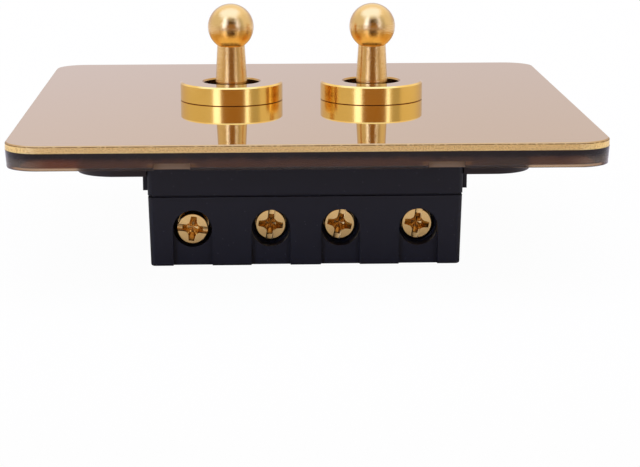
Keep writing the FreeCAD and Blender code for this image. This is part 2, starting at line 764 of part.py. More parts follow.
def housing_screws():
    """Two long screws from the bottom of the housing into its upper half."""
    screws = []
    for name, screw_y in housing_screw_places().items():
        under_head = s.housing_head_recess + s.housing_head_height
        head = cylinder("housing_head_" + name, s.housing_head_radius, "Z",
                        (s.housing_head_recess, under_head), (as_size(0), screw_y))
        shank = cylinder("housing_shank_" + name, s.housing_screw_radius, "Z",
                         (under_head, yoke_underside - s.housing_screw_cover), (as_size(0), screw_y))
        whole = fuse("housing_screw_blank_" + name, [head, shank])
        slots = []
        for number, (wide, deep) in enumerate(((s.screw_cross_length, s.screw_slot_width),
                                               (s.screw_slot_width, s.screw_cross_length))):
            slots.append(box("housing_cross_%s_%d" % (name, number), span(as_size(0), wide),
                             span(screw_y, deep),
                             (s.housing_head_recess, s.housing_head_recess + s.screw_slot_depth)))
        screws.append(cut("housing_screw_" + name, whole, slots))
    keep("housing_screws", group("housing_screws", screws))


def dolly(side, gang_x):
    """Turned lever: ball, long tapered neck and a stem that screws into the cradle."""
    junction = s.ball_height - root(s.ball_radius * s.ball_radius - s.neck_radius * s.neck_radius)
    lever = turned("dolly_" + side, [
        (as_size(0), s.collar_height - stem_depth),
        (s.stem_radius, s.collar_height - stem_depth),
        (s.stem_radius, s.collar_height),
        (s.dolly_base_radius, s.collar_height),
        (s.neck_radius, junction),
        (s.ball_radius, s.ball_height),
        (as_size(0), s.ball_height + s.ball_radius),
    ], {4: (s.ball_radius, 1), 5: (s.ball_radius, 1)})
    lever_frame(lever, gang_x)
    keep("dolly_" + side, lever)


def cradle(side, gang_x):
    """Moulded cradle: barrel on the pivot pin, collar for the stem and tube for the spring."""
    barrel_half = cavity_half_width - s.cradle_side_play
    zero = as_size(0)
    barrel = cylinder("barrel_" + side, s.cradle_barrel_radius, "X", (-barrel_half, barrel_half), (zero, zero))
    collar = cylinder("collar_" + side, s.collar_radius, "Z", (zero, s.collar_height), (zero, zero))
    tube = cylinder("tube_" + side, s.spring_tube_radius, "Z", (-spring_tube_length, zero), (zero, zero))
    solid = fuse("cradle_blank_" + side, [barrel, collar, tube])
    pin_bore = cylinder("pin_bore_" + side, s.pivot_pin_radius + s.running_play, "X",
                        (-barrel_half, barrel_half), (zero, zero))
    stem_bore = cylinder("stem_bore_" + side, s.stem_radius, "Z",
                         (s.collar_height - stem_depth, s.collar_height), (zero, zero))
    spring_bore = cylinder("spring_bore_" + side, s.spring_bore_radius, "Z",
                           (-spring_tube_length, -spring_bore_roof), (zero, zero))
    moulding = cut("cradle_" + side, solid, [pin_bore, stem_bore, spring_bore])
    lever_frame(moulding, gang_x)
    keep("cradle_" + side, moulding)


def pivot_pin(side, gang_x):
    """Steel pin that the cradle turns on, held between the housing's halves."""
    reach = cavity_half_width + s.pivot_seat
    keep("pivot_pin_" + side, cylinder("pivot_pin_" + side, s.pivot_pin_radius, "X",
                                       (gang_x - reach, gang_x + reach), (as_size(0), pivot_height)))


def plunger(side, gang_x):
    """Sprung plunger that slides in the cradle and presses on the rocking contact."""
    radius = s.spring_bore_radius - s.plunger_play
    shoulder = s.plunger_back + s.plunger_length
    nose_centre = nose_reach - s.plunger_nose_radius
    piece = turned("plunger_" + side, [
        (as_size(0), -nose_reach),
        (s.plunger_nose_radius, -nose_centre),
        (radius, -shoulder),
        (radius, -s.plunger_back),
        (as_size(0), -s.plunger_back),
    ], {0: (s.plunger_nose_radius, 1)})
    lever_frame(piece, gang_x)
    keep("plunger_" + side, piece)


def dolly_spring(side, gang_x):
    """Compression spring between the cradle and the plunger, a thin six-sided wire on a helix."""
    wire = s.spring_wire_radius.value
    coil_radius = s.spring_bore_radius.value - s.plunger_play.value - wire
    top = -spring_bore_roof.value - wire - s.spring_end_play.value
    bottom = -s.plunger_back.value + wire + s.spring_end_play.value
    rise = top - bottom
    path = Part.makeHelix(rise / s.spring_turns.value, rise, coil_radius)
    path.translate(FreeCAD.Vector(0, 0, bottom))
    corners = []
    for corner in range(7):
        turn = math.pi / 3 * corner
        corners.append(FreeCAD.Vector(coil_radius + wire * math.cos(turn), 0, bottom + wire * math.sin(turn)))
    coil = Part.Wire(path).makePipeShell([Part.makePolygon(corners)], True, True)
    spring = doc.addObject("Part::Feature", "dolly_spring_" + side)
    spring.Shape = coil
    lever_frame(spring, gang_x)
    keep("dolly_spring_" + side, spring)


def saddle_curve():
    """Radius and centre height of the groove that the plunger's nose swings in.

    The nose's centre moves on an arc about the lever's pivot while the contact tilts the
    other way, so in the contact's own frame it runs on a smaller arc through three points.
    """
    arm = nose_reach - s.plunger_nose_radius
    drop = pivot_height - rocker_height
    middle = drop - arm
    out = arm * sine(s.rest_tilt)
    up = drop - arm * cosine(s.rest_tilt)
    end_y = out * cosine(rocker_tilt) - up * sine(rocker_tilt)
    end_z = out * sine(rocker_tilt) + up * cosine(rocker_tilt)
    lift = end_z - middle
    path_radius = (end_y * end_y + lift * lift) / (lift * 2)
    return path_radius + s.plunger_nose_radius + s.nose_play, middle + path_radius


def contact_rocker(side, gang_x):
    """Rocking contact strip: saddle for the plunger and a round stub at each side as its pivot."""
    half = s.rocker_thickness / 2
    groove_radius, groove_height = saddle_curve()
    rise = groove_height - s.saddle_height
    groove_half = root(groove_radius * groove_radius - rise * rise)
    foot = s.saddle_half_length + s.saddle_foot
    profile = [
        (-rocker_half_length, -half),
        (rocker_half_length, -half),
        (rocker_half_length, half),
        (foot, half),
        (s.saddle_half_length, s.saddle_height),
        (groove_half, s.saddle_height),
        (-groove_half, s.saddle_height),
        (-s.saddle_half_length, s.saddle_height),
        (-foot, half),
        (-rocker_half_length, half),
    ]
    strip = pressed("rocker_strip_" + side, "YZ_Plane", profile, s.rocker_width,
                    {5: (groove_radius, -1)})
    reach = s.rocker_width / 2 + s.stub_length
    stubs = []
    for across in SIDES:
        ends = ordered((s.rocker_width / 2 * across, reach * across))
        stubs.append(cylinder("stub_%s_%d" % (side, across > 0), s.stub_radius, "X", ends,
                              (as_size(0), as_size(0))))
    whole = fuse("contact_rocker_" + side, [strip] + stubs)
    rocker_frame(whole, gang_x)
    keep("contact_rocker_" + side, whole)


def moving_contacts(side, gang_x):
    """Two domed silver rivets under the rocking contact."""
    underside = -s.rocker_thickness / 2
    tip = underside - s.rivet_height
    rivets = []
    for along in SIDES:
        tag = "%s_%d" % (side, along > 0)
        reach = s.rivet_reach * along
        disc = cylinder("moving_disc_" + tag, s.rivet_radius, "Z", (tip, underside), (as_size(0), reach))
        dome = doc.addObject("Part::Sphere", "moving_dome_" + tag)
        bind(dome, "Radius", s.rivet_dome_radius)
        place(dome, as_size(0), reach, tip + s.rivet_dome_radius)
        rivet = doc.addObject("Part::Common", "moving_rivet_" + tag)
        rivet.Base = disc
        rivet.Tool = dome
        rivets.append(rivet)
    pair = group("moving_contacts_" + side, rivets)
    rocker_frame(pair, gang_x)
    keep("moving_contacts_" + side, pair)


def fixed_rivet_reach():
    """Distance in y from the rocker's pivot to a fixed rivet."""
    return s.rivet_reach * cosine(rocker_tilt) + dome_centre * sine(rocker_tilt) - s.contact_play * 3


def fixed_contact(name, gang_x, across, along):
    """Bent strip from a front terminal to the rivet under one end of the rocking contact."""
    low = strip_bottom
    high = low + s.strip_thickness
    x = gang_x + s.terminal_offset * across
    tab_front = -block_inner
    tab_back = tab_front + s.strip_thickness
    rivet_y = fixed_rivet_reach() * along
    arm = span(x, s.strip_width)
    foot_y = span(rivet_y, s.rivet_radius * 2)
    cross_x = ordered((x - s.strip_width / 2 * across, gang_x - s.rivet_radius * across))
    pieces = [
        box(name + "_tab", span(x, s.tab_width), (tab_front, tab_back), (low, s.base_floor + s.tab_height)),
        box(name + "_arm", arm, (tab_front, foot_y[1]), (low, high)),
        box(name + "_foot", cross_x, foot_y, (low, high)),
    ]
    keep(name, fuse(name, pieces))


def common_contact(side, gang_x):
    """Common strip: notched ears that carry the rocking contact, and a tail to the rear terminal."""
    name = "common_contact_" + side
    low = s.base_floor
    high = low + s.strip_thickness
    ear_inner = s.rocker_width / 2 + s.ear_gap
    ear_outer = ear_inner + s.strip_thickness
    notch = s.stub_radius + s.running_play
    ear_top = rocker_height + s.ear_rise
    ear_y = span(as_size(0), s.ear_half_width * 2)
    tab = block_inner
    pieces = [
        box(name + "_floor", (gang_x - ear_outer, gang_x + ear_outer), ear_y, (low, high)),
        box(name + "_tail", span(gang_x, s.strip_width), (as_size(0), tab), (low, high)),
        box(name + "_tab", span(gang_x, s.tab_width), (tab - s.strip_thickness, tab),
            (low, low + s.tab_height)),
    ]
    for across in SIDES:
        ear = ordered((gang_x + ear_inner * across, gang_x + ear_outer * across))
        pieces.append(box("%s_ear_%d" % (name, across > 0), ear, ear_y, (low, ear_top)))
    bent = fuse(name + "_bent", pieces)
    reach = (gang_x - ear_outer, gang_x + ear_outer)
    tools = [
        cylinder(name + "_notch", notch, "X", reach, (as_size(0), rocker_height)),
        box(name + "_mouth", reach, span(as_size(0), notch * 2), (rocker_height, ear_top)),
    ]
    keep(name, cut(name, bent, tools))


def fixed_silver(side, gang_x):
    """The silver rivets that the rocking contact closes onto."""
    top = contact_level
    rivets = []
    for along in SIDES:
        rivets.append(cylinder("fixed_rivet_%s_%d" % (side, along > 0), s.rivet_radius, "Z",
                               (top - s.rivet_height, top), (gang_x, fixed_rivet_reach() * along)))
    keep("fixed_rivets_" + side, group("fixed_rivets_" + side, rivets))


def terminal_blocks():
    """Brass pillar terminals: a wire hole from below and a screw hole from outside."""
    blocks = []
    low = s.base_floor
    for name, x, along, is_open in terminal_places():
        length = ordered((block_inner * along, block_front * along))
        body = box("block_body_" + name, span(x, s.block_width), length, (low, low + s.block_height))
        wire = cylinder("block_wire_" + name, s.wire_hole_radius, "Z",
                        (low, low + s.wire_hole_depth), (x, wire_y * along))
        thread = cylinder("block_thread_" + name, s.screw_shank_radius + s.thread_play, "Y",
                          ordered(((block_inner + s.strip_thickness) * along, block_front * along)),
                          (x, s.terminal_height))
        blocks.append(cut("block_" + name, body, [wire, thread]))
    keep("terminal_blocks", group("terminal_blocks", blocks))


def terminal_screws():
    """Combination-head screws, each turned to its own angle, one of them left open."""
    turns = {"left_first": 78.0, "left_second": -8.0, "right_first": 7.0, "right_second": -6.0,
             "left_common": 20.0, "right_common": -35.0}
    screws = []
    zero = as_size(0)
    closed_recess = s.screw_tunnel_depth - s.screw_head_height - s.screw_head_play
    for name, x, along, is_open in terminal_places():
        head = cylinder("head_" + name, s.screw_head_radius, "Z", (-s.screw_head_height, zero), (zero, zero))
        shank = cylinder("shank_" + name, s.screw_shank_radius, "Z",
                         (-s.screw_head_height - s.screw_length, -s.screw_head_height), (zero, zero))
        whole = fuse("screw_whole_" + name, [head, shank])
        depth = (-s.screw_slot_depth, zero)
        slot = box("slot_" + name, span(zero, s.screw_slot_width), span(zero, s.screw_head_radius * 2), depth)
        cross = box("cross_" + name, span(zero, s.screw_cross_length), span(zero, s.screw_cross_width), depth)
        spine = box("spine_" + name, span(zero, s.screw_cross_width), span(zero, s.screw_cross_length), depth)
        screw = cut("screw_" + name, whole, [slot, cross, spine])
        recess = closed_recess - s.open_screw_out if is_open else closed_recess
        facing = FreeCAD.Rotation(FreeCAD.Vector(1, 0, 0), 90 * -along)
        screw.Placement.Rotation = facing.multiply(FreeCAD.Rotation(FreeCAD.Vector(0, 0, 1), turns[name]))
        place(screw, x, (base_depth / 2 - recess) * along, s.terminal_height)
        screws.append(screw)
    keep("terminal_screws", group("terminal_screws", screws))


face_plate()
cover_frame()
mounting_yoke()
housing_top()
housing_base()
housing_screws()
terminal_blocks()
terminal_screws()
for gang, centre_x in GANGS.items():
    bezel_ring(gang, centre_x)
    ring_nut(gang, centre_x)
    pivot_pin(gang, centre_x)
    dolly(gang, centre_x)
    cradle(gang, centre_x)
    plunger(gang, centre_x)
    dolly_spring(gang, centre_x)
    contact_rocker(gang, centre_x)
    moving_contacts(gang, centre_x)
    common_contact(gang, centre_x)
    fixed_silver(gang, centre_x)
    fixed_contact("front_contact_" + gang, centre_x, -1, -1)
    fixed_contact("rear_contact_" + gang, centre_x, 1, 1)

doc.recompute()
for thing in doc.Objects:
    if "Invalid" in thing.State or "Error" in thing.State:
        raise RuntimeError("%s did not recompute: %s" % (thing.Name, thing.State))
os.makedirs("parts", exist_ok=True)
for name, thing in nodes.items():
    shape = thing.Shape
    if shape.isNull() or not shape.isValid() or not shape.Solids:
        raise RuntimeError("%s has no valid solid" % name)
    shape.exportStep("parts/%s.step" % name)
    print("%-24s %2d solid(s) %10.2f mm3" % (name, len(shape.Solids), shape.Volume))
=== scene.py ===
# %% [markdown]
# A two-gang dolly switch, dressed for its picture.
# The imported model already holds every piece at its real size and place. This script never moves
# one: it gives the pieces their finishes, cuts the drive recesses into the terminal screws, which
# are finer than the model needs, and sets up the studio that the polished brass reflects.

import json
import math

import bpy
from mathutils import Matrix, Vector


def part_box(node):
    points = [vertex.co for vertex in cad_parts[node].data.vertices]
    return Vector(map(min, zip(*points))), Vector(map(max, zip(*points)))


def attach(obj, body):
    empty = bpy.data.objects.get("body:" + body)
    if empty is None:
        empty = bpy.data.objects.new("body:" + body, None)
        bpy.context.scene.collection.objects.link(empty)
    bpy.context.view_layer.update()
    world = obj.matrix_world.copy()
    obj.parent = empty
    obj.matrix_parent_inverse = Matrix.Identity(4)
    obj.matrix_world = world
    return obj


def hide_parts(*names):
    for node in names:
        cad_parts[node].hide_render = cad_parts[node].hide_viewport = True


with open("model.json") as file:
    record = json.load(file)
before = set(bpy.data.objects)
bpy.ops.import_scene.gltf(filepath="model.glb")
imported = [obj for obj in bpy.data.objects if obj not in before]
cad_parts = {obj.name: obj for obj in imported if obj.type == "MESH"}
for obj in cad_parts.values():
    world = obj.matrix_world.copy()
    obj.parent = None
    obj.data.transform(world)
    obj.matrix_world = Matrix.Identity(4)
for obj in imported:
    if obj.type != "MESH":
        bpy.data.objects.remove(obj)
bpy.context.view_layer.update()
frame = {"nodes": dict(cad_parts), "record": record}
nodes = frame["nodes"]
MM = 0.001

# %% [markdown]
# The camera stands a little above the plate and looks slightly down along +Y, as the photograph
# does. Its place, turn and focal length come from fitting the plate's corners, 86 mm apart. The
# rotation is built from three directions, because a yaw, pitch and roll read more clearly so.

# %% Camera
CAMERA_PLACE = Vector((-8.169, -308.654, 68.828)) * MM
YAW = math.radians(2.066)
PITCH = math.radians(12.556)
ROLL = math.radians(0.069)
FOCAL_PIXELS = 1929.63
PICTURE_WIDTH = 640


def camera_matrix(place, yaw, pitch, roll):
    """Where the camera stands and how it is turned, from its heading and its downward pitch."""
    ahead = Vector((math.sin(yaw) * math.cos(pitch), math.cos(yaw) * math.cos(pitch), -math.sin(pitch)))
    level_right = Vector((math.cos(yaw), -math.sin(yaw), 0))
    level_down = ahead.cross(level_right)
    right = math.cos(roll) * level_right + math.sin(roll) * level_down
    down = math.cos(roll) * level_down - math.sin(roll) * level_right
    matrix = Matrix((right, -down, -ahead)).transposed().to_4x4()
    matrix.translation = place
    return matrix


lens = bpy.data.cameras.new("lens")
lens.sensor_width = 36
lens.lens = FOCAL_PIXELS / PICTURE_WIDTH * lens.sensor_width
lens.clip_start = 0.01
camera = bpy.data.objects.new("camera", lens)
camera.matrix_world = camera_matrix(CAMERA_PLACE, YAW, PITCH, ROLL)
bpy.context.collection.objects.link(camera)
bpy.context.scene.camera = camera
bpy.context.scene.view_settings.view_transform = "Standard"
print("focal length: %.1f mm" % lens.lens)

# %% [markdown]
# Polished metal shows the room more than itself, so the room matters. It is a white studio with a
# tall narrow lamp at each side of the camera, a soft box overhead and the dark, warm space where
# the camera stands. All of it is the world's own colour, worked out from the direction that a ray
# looks in, so nothing stands in the way when the object is seen from another side. Each lamp is a
# band of bearings, counted from the camera, which shows in the rings and balls as a bright stripe.
# Nodes are many and alike, so a few short helpers add them and link them. A Mix node has its
# inputs for numbers at places 2 and 3, and those for colours at 6 and 7.

# %% Node helpers
MIX_NUMBERS = (2, 3)
MIX_COLOURS = (6, 7)
MIX_COLOUR_RESULT = 2


def new_node(tree, kind, sockets=None, **settings):
    """Add a node, set what it is, and fill or link its input sockets by name or number."""
    node = tree.nodes.new(kind)
    for name, value in settings.items():
        setattr(node, name, value)
    for name, value in (sockets or {}).items():
        if isinstance(value, bpy.types.NodeSocket):
            tree.links.new(value, node.inputs[name])
        else:
            node.inputs[name].default_value = value
    return node


def maths(tree, operation, *values):
    """One step of arithmetic on numbers or sockets."""
    return new_node(tree, "ShaderNodeMath", dict(enumerate(values)), operation=operation).outputs[0]


def ease(tree, value, start, end, low=0.0, high=1.0):
    """Go smoothly from low to high while the value goes from start to end."""
    sockets = {"Value": value, "From Min": start, "From Max": end, "To Min": low, "To Max": high}
    node = new_node(tree, "ShaderNodeMapRange", sockets, interpolation_type="SMOOTHSTEP")
    return node.outputs["Result"]


def band(tree, value, start, end, soft):
    """1 while the value is between start and end, 0 outside, with soft borders."""
    rise = ease(tree, value, start - soft, start + soft)
    return maths(tree, "MULTIPLY", rise, ease(tree, value, end - soft, end + soft, 1.0, 0.0))


def blend(tree, share, first, second):
    """A number that goes from the first to the second as the share goes from 0 to 1."""
    sockets = {0: share, **dict(zip(MIX_NUMBERS, (first, second)))}
    return new_node(tree, "ShaderNodeMix", sockets).outputs[0]


def paint(tree, share, first, second):
    """A colour that goes from the first to the second as the share goes from 0 to 1."""
    sockets = {0: share, **dict(zip(MIX_COLOURS, (first, second)))}
    return new_node(tree, "ShaderNodeMix", sockets, data_type="RGBA").outputs[MIX_COLOUR_RESULT]


def axes_of(tree, vector):
    """The X, Y and Z sockets of a vector."""
    return new_node(tree, "ShaderNodeSeparateXYZ", {0: vector}).outputs


def straight_look(tree):
    """1 for rays from the camera, also when they have come through clear plastic."""
    rays = new_node(tree, "ShaderNodeLightPath").outputs
    return maths(tree, "MAXIMUM", rays["Is Camera Ray"], rays["Is Transmission Ray"])


# %% [markdown]
# The walls change colour softly from left to right and brighten overhead. The plate mirrors the
# wall behind it, at a low angle, and the rings and balls mirror the walls beside and in front.
# Bearings and heights are in degrees, and walls that change with X count it from -1 to 1.

# %% Studio light
SIDE_WALL_TURN = (-0.3, 0.3)
BACK_WALL_TURN = (-0.15, 0.15)
BACK_WALL_RISE = (12, 32)
BEHIND_PLATE = (100, 150)
SIDE_WALL_LEFT = (0.84, 0.84, 0.85, 1)
SIDE_WALL_RIGHT = (0.92, 0.92, 0.93, 1)
BACK_WALL_LEFT = (0.785, 0.705, 0.81, 1)
BACK_WALL_RIGHT = (0.75, 0.66, 0.73, 1)
BACK_WALL_HIGH = (1.15, 1.15, 1.2, 1)
WALL_IN_SHADE = (0.58, 0.58, 0.6, 1)
CAMERA_SIDE_LOW = (0.42, 0.24, 0.12, 1)
CAMERA_SIDE_HIGH = (0.10, 0.07, 0.05, 1)
LAMP = (2.1, 2.7, 5.4, 1)
PANELS = (
    ("wall in shade", 44, 66, 3.0, WALL_IN_SHADE, WALL_IN_SHADE),
    ("camera side", -23, 30, 2.0, CAMERA_SIDE_LOW, CAMERA_SIDE_HIGH),
    ("left lamp", -41.5, -25, 1.0, LAMP, LAMP),
    ("right lamp", 32, 39, 1.0, LAMP, LAMP),
)
PANEL_RISE = (12, 19)
CEILING_RISE = (41, 51)
CEILING = (1.15, 1.15, 1.2, 1)
SOFT_BOX = (1.3, 1.65, 2.8, 1)
SOFT_BOX_X = (-0.9, 0.6)
SOFT_BOX_Y = (-0.7, 0.35)
SOFT_BOX_BORDER = 0.1
WHITE = (1, 1, 1, 1)


def studio(world):
    """Colour of the room in each direction, plain white straight into the camera."""
    world.use_nodes = True
    tree = world.node_tree
    tree.nodes.clear()
    look = new_node(tree, "ShaderNodeTexCoord").outputs["Generated"]
    axes = axes_of(tree, look)
    turn = maths(tree, "ARCTAN2", axes["X"], maths(tree, "MULTIPLY", axes["Y"], -1.0))
    bearing = maths(tree, "DEGREES", turn)
    height = maths(tree, "DEGREES", maths(tree, "ARCSINE", axes["Z"]))
    back_wall = paint(tree, ease(tree, axes["X"], *BACK_WALL_TURN), BACK_WALL_LEFT, BACK_WALL_RIGHT)
    back_wall = paint(tree, ease(tree, height, *BACK_WALL_RISE), back_wall, BACK_WALL_HIGH)
    behind = ease(tree, maths(tree, "ABSOLUTE", bearing), *BEHIND_PLATE)
    side_wall = paint(tree, ease(tree, axes["X"], *SIDE_WALL_TURN), SIDE_WALL_LEFT, SIDE_WALL_RIGHT)
    light = paint(tree, behind, side_wall, back_wall)
    raised = ease(tree, height, *PANEL_RISE)
    for name, start, end, soft, low, high in PANELS:
        light = paint(tree, band(tree, bearing, start, end, soft), light, paint(tree, raised, low, high))
    light = paint(tree, ease(tree, height, *CEILING_RISE), light, CEILING)
    box = maths(tree, "GREATER_THAN", axes["Z"], 0.0)
    for axis, (start, end) in (("X", SOFT_BOX_X), ("Y", SOFT_BOX_Y)):
        slant = maths(tree, "DIVIDE", axes[axis], axes["Z"])
        box = maths(tree, "MULTIPLY", box, band(tree, slant, start, end, SOFT_BOX_BORDER))
    light = paint(tree, box, light, SOFT_BOX)
    colour = paint(tree, straight_look(tree), light, WHITE)
    background = new_node(tree, "ShaderNodeBackground", {"Color": colour, "Strength": 1.0})
    new_node(tree, "ShaderNodeOutputWorld", {"Surface": background.outputs[0]})


world = bpy.data.worlds.new("studio")
studio(world)
bpy.context.scene.world = world
print("studio:", ", ".join(panel[0] for panel in PANELS))

# %% [markdown]
# The switch stands on a sheet of white paper that ends a little in front of it, on a wooden table.
# The camera sees white with a trace of shadow. The metal sees the paper and the table, and so the
# lower halves of the balls and rings turn warm. One flat sheet does both, with two shaders mixed.

# %% Floor
FLOOR_SIDE = 6.0
WHITE_SHARE = 0.97
PAPER = (0.9, 0.77, 0.64, 1)
TABLE = (0.30, 0.175, 0.08, 1)
PAPER_EDGE = (-0.2, -0.05)


def floor_material():
    """White paper that ends before the camera, and white into the camera with a trace of shadow."""
    material = bpy.data.materials.new("white_paper")
    material.use_nodes = True
    tree = material.node_tree
    tree.nodes.clear()
    place = new_node(tree, "ShaderNodeTexCoord").outputs["Object"]
    colour = paint(tree, ease(tree, axes_of(tree, place)["Y"], *PAPER_EDGE), TABLE, PAPER)
    paper = new_node(tree, "ShaderNodeBsdfDiffuse", {"Color": colour})
    painted_glow = new_node(tree, "ShaderNodeEmission", {"Color": WHITE, "Strength": 1.0})
    share = maths(tree, "MULTIPLY", straight_look(tree), WHITE_SHARE)
    mixed = new_node(tree, "ShaderNodeMixShader", {0: share, 1: paper.outputs[0], 2: painted_glow.outputs[0]})
    new_node(tree, "ShaderNodeOutputMaterial", {"Surface": mixed.outputs[0]})
    return material


def new_mesh(name, corners, faces):
    """Mesh from its corners in metres and its faces."""
    mesh = bpy.data.meshes.new(name)
    mesh.from_pydata(corners, [], faces)
    return mesh


def as_object(mesh):
    """Put a mesh in the scene as an object of the same name."""
    thing = bpy.data.objects.new(mesh.name, mesh)
    bpy.context.collection.objects.link(thing)
    return thing


def floor():
    """Large flat sheet that the switch stands on."""
    half = FLOOR_SIDE / 2
    corners = [(-half, -half, 0), (half, -half, 0), (half, half, 0), (-half, half, 0)]
    mesh = new_mesh("floor", corners, [(0, 1, 2, 3)])
    mesh.materials.append(floor_material())
    return as_object(mesh)


floor()

# %% [markdown]
# All the brass is one metal. Seen straight on it is deep gold, and at a shallow angle every metal
# turns paler, which is why the plate looks beige here while the rings look orange. The shader's
# own edge tint sets that pale tone. Finishes are worked out from the piece's own coordinates in
# millimetres and from the way a surface faces, so they stay put from every side.

# %% Material helpers
BRASS = (0.84, 0.56, 0.23, 1)
POLISHED_EDGE_TINT = (0.90, 0.976, 1.0, 1)
TO_MM = 1 / MM


def principled(name, sockets):
    """New material with its main shader filled in; returns the material, its tree and the shader."""
    material = bpy.data.materials.new(name)
    material.use_nodes = True
    tree = material.node_tree
    shader = tree.nodes["Principled BSDF"]
    for socket, value in sockets.items():
        shader.inputs[socket].default_value = value
    return material, tree, shader


def object_place(tree, stretch=(1, 1, 1), centre=(0, 0, 0), tilt=0.0):
    """The piece's own coordinates in millimetres, tilted about X round a centre and stretched."""
    place = new_node(tree, "ShaderNodeTexCoord").outputs["Object"]
    sockets = {"Vector": place, "Location": Vector(centre) * -1}
    moved = new_node(tree, "ShaderNodeMapping", sockets).outputs[0]
    sockets = {"Vector": moved, "Rotation": (tilt, 0, 0), "Scale": Vector(stretch) * TO_MM}
    return new_node(tree, "ShaderNodeMapping", sockets).outputs[0]


def facing_up(tree):
    """How far a surface faces up: 1 on a level top, 0 on an upright wall, -1 underneath."""
    normal = new_node(tree, "ShaderNodeNewGeometry").outputs["True Normal"]
    return axes_of(tree, normal)["Z"]


def uneven(tree, values, spread, middle):
    """Spread values that go from 0 to 1 evenly round a middle value."""
    return maths(tree, "MULTIPLY_ADD", values, spread, middle - spread / 2)


def noise(tree, place, scale, detail=2.0):
    """Soft random values from 0 to 1 over a place in millimetres, finer with a higher scale."""
    sockets = {"Vector": place, "Scale": scale, "Detail": detail, "Roughness": 0.6}
    return new_node(tree, "ShaderNodeTexNoise", sockets).outputs["Fac"]


def bumped(tree, shader, height, depth_mm, strength=1.0):
    """Relief on a shader from a height that goes from 0 to 1."""
    sockets = {"Height": height, "Distance": depth_mm * MM, "Strength": strength}
    relief = new_node(tree, "ShaderNodeBump", sockets)
    tree.links.new(relief.outputs[0], shader.inputs["Normal"])


# %% [markdown]
# The plate is sheet brass, cut, bevelled and then polished on its face until it mirrors the room.
# Its cut edge is only brushed: it is rougher and speckled, with a broken dark line just under the
# bevel. The bevel is painted darker, a painted shade that dims its reflection of the soft box
# overhead. The model gives the shape, so the finish only asks how far a surface faces up and how
# far below the top it lies.

# %% Plate brass
PLATE_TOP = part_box("face_plate")[1][2]
MIRROR_GLOSS = 0.03
BRUSHED_GLOSS = 0.4
BRUSHED_SPREAD = 0.3
WALL_FACES = (0.85, 0.95)
BEVEL_FACES = (0.4, 0.9)
SPECKLE_FINENESS = 5.0
SPECKLE_SHARE = (0.42, 0.68)
SPECKLE_MOST = 0.7
BRUSH_FINENESS = 7.0
BRUSH_STROKE = (0.2, 0.2, 1)
DARK_LINE_HEIGHTS = (-0.27, -0.15)
DARK_LINE_GAPS = (0.3, 0.5)
DARK_LINE_FINENESS = 2.5
BEVEL_PAINTED_SHADE = (0.57, 0.34, 0.13, 1)
DARK_LINE_BRASS = (0.24, 0.12, 0.03, 1)
EDGE_BRASS = (1.0, 0.73, 0.29, 1)
SPECKLE_BRASS = (0.60, 0.36, 0.12, 1)


def plate_brass():
    """Mirror polish on the faces, painted shade on the bevel; the cut edges keep their lengthwise brush
    marks.
    """
    sockets = {"Base Color": BRASS, "Specular Tint": POLISHED_EDGE_TINT, "Metallic": 1.0,
               "Roughness": MIRROR_GLOSS}
    material, tree, shader = principled("plate_brass", sockets)
    speckle = noise(tree, object_place(tree), SPECKLE_FINENESS)
    marks = noise(tree, object_place(tree, BRUSH_STROKE), BRUSH_FINENESS)
    level = maths(tree, "ABSOLUTE", facing_up(tree))
    edge = ease(tree, level, *WALL_FACES, 1.0, 0.0)
    bevel = band(tree, level, *BEVEL_FACES, 0.04)
    speckled = ease(tree, speckle, *SPECKLE_SHARE, 0.0, SPECKLE_MOST)
    colour = paint(tree, edge, BRASS, paint(tree, speckled, EDGE_BRASS, SPECKLE_BRASS))
    # Painted shade: the bevel is painted darker so that its reflection of the soft box overhead is dimmer.
    colour = paint(tree, bevel, colour, BEVEL_PAINTED_SHADE)
    from_top = maths(tree, "SUBTRACT", axes_of(tree, object_place(tree))["Z"], PLATE_TOP * TO_MM)
    # A broken line of darker colour just under the bevel.
    dark_line = band(tree, from_top, *DARK_LINE_HEIGHTS, 0.03)
    broken = ease(tree, noise(tree, object_place(tree, (1, 1, 0)), DARK_LINE_FINENESS), *DARK_LINE_GAPS)
    colour = paint(tree, maths(tree, "MULTIPLY", dark_line, broken), colour, DARK_LINE_BRASS)
    tree.links.new(colour, shader.inputs["Base Color"])
    rough = blend(tree, edge, MIRROR_GLOSS, uneven(tree, marks, BRUSHED_SPREAD, BRUSHED_GLOSS))
    tree.links.new(rough, shader.inputs["Roughness"])
    relief = maths(tree, "MULTIPLY", edge, maths(tree, "ADD", marks, speckle))
    bumped(tree, shader, relief, 0.06, 0.6)
    return material


# %% [markdown]
# The rings and levers are turned on a lathe. The tool leaves rings finer than a hair, which
# spread a reflection along the axis and leave it sharp across. Noise stretched the other way
# gives them: it is long round the axis and short along it. A lever leans with its own axis, so
# its noise is tilted with it. Level faces were polished together with the plate.

# %% Turned brass
LEVEL_FACES = (0.985, 0.999)
UNDER_SIDES = (-0.5, -0.1)
LEVEL_GLOSS = 0.08
TURNED_SPREAD = 0.14
GRAIN_FINENESS = 6.0
GRAIN_RELIEF = 0.6


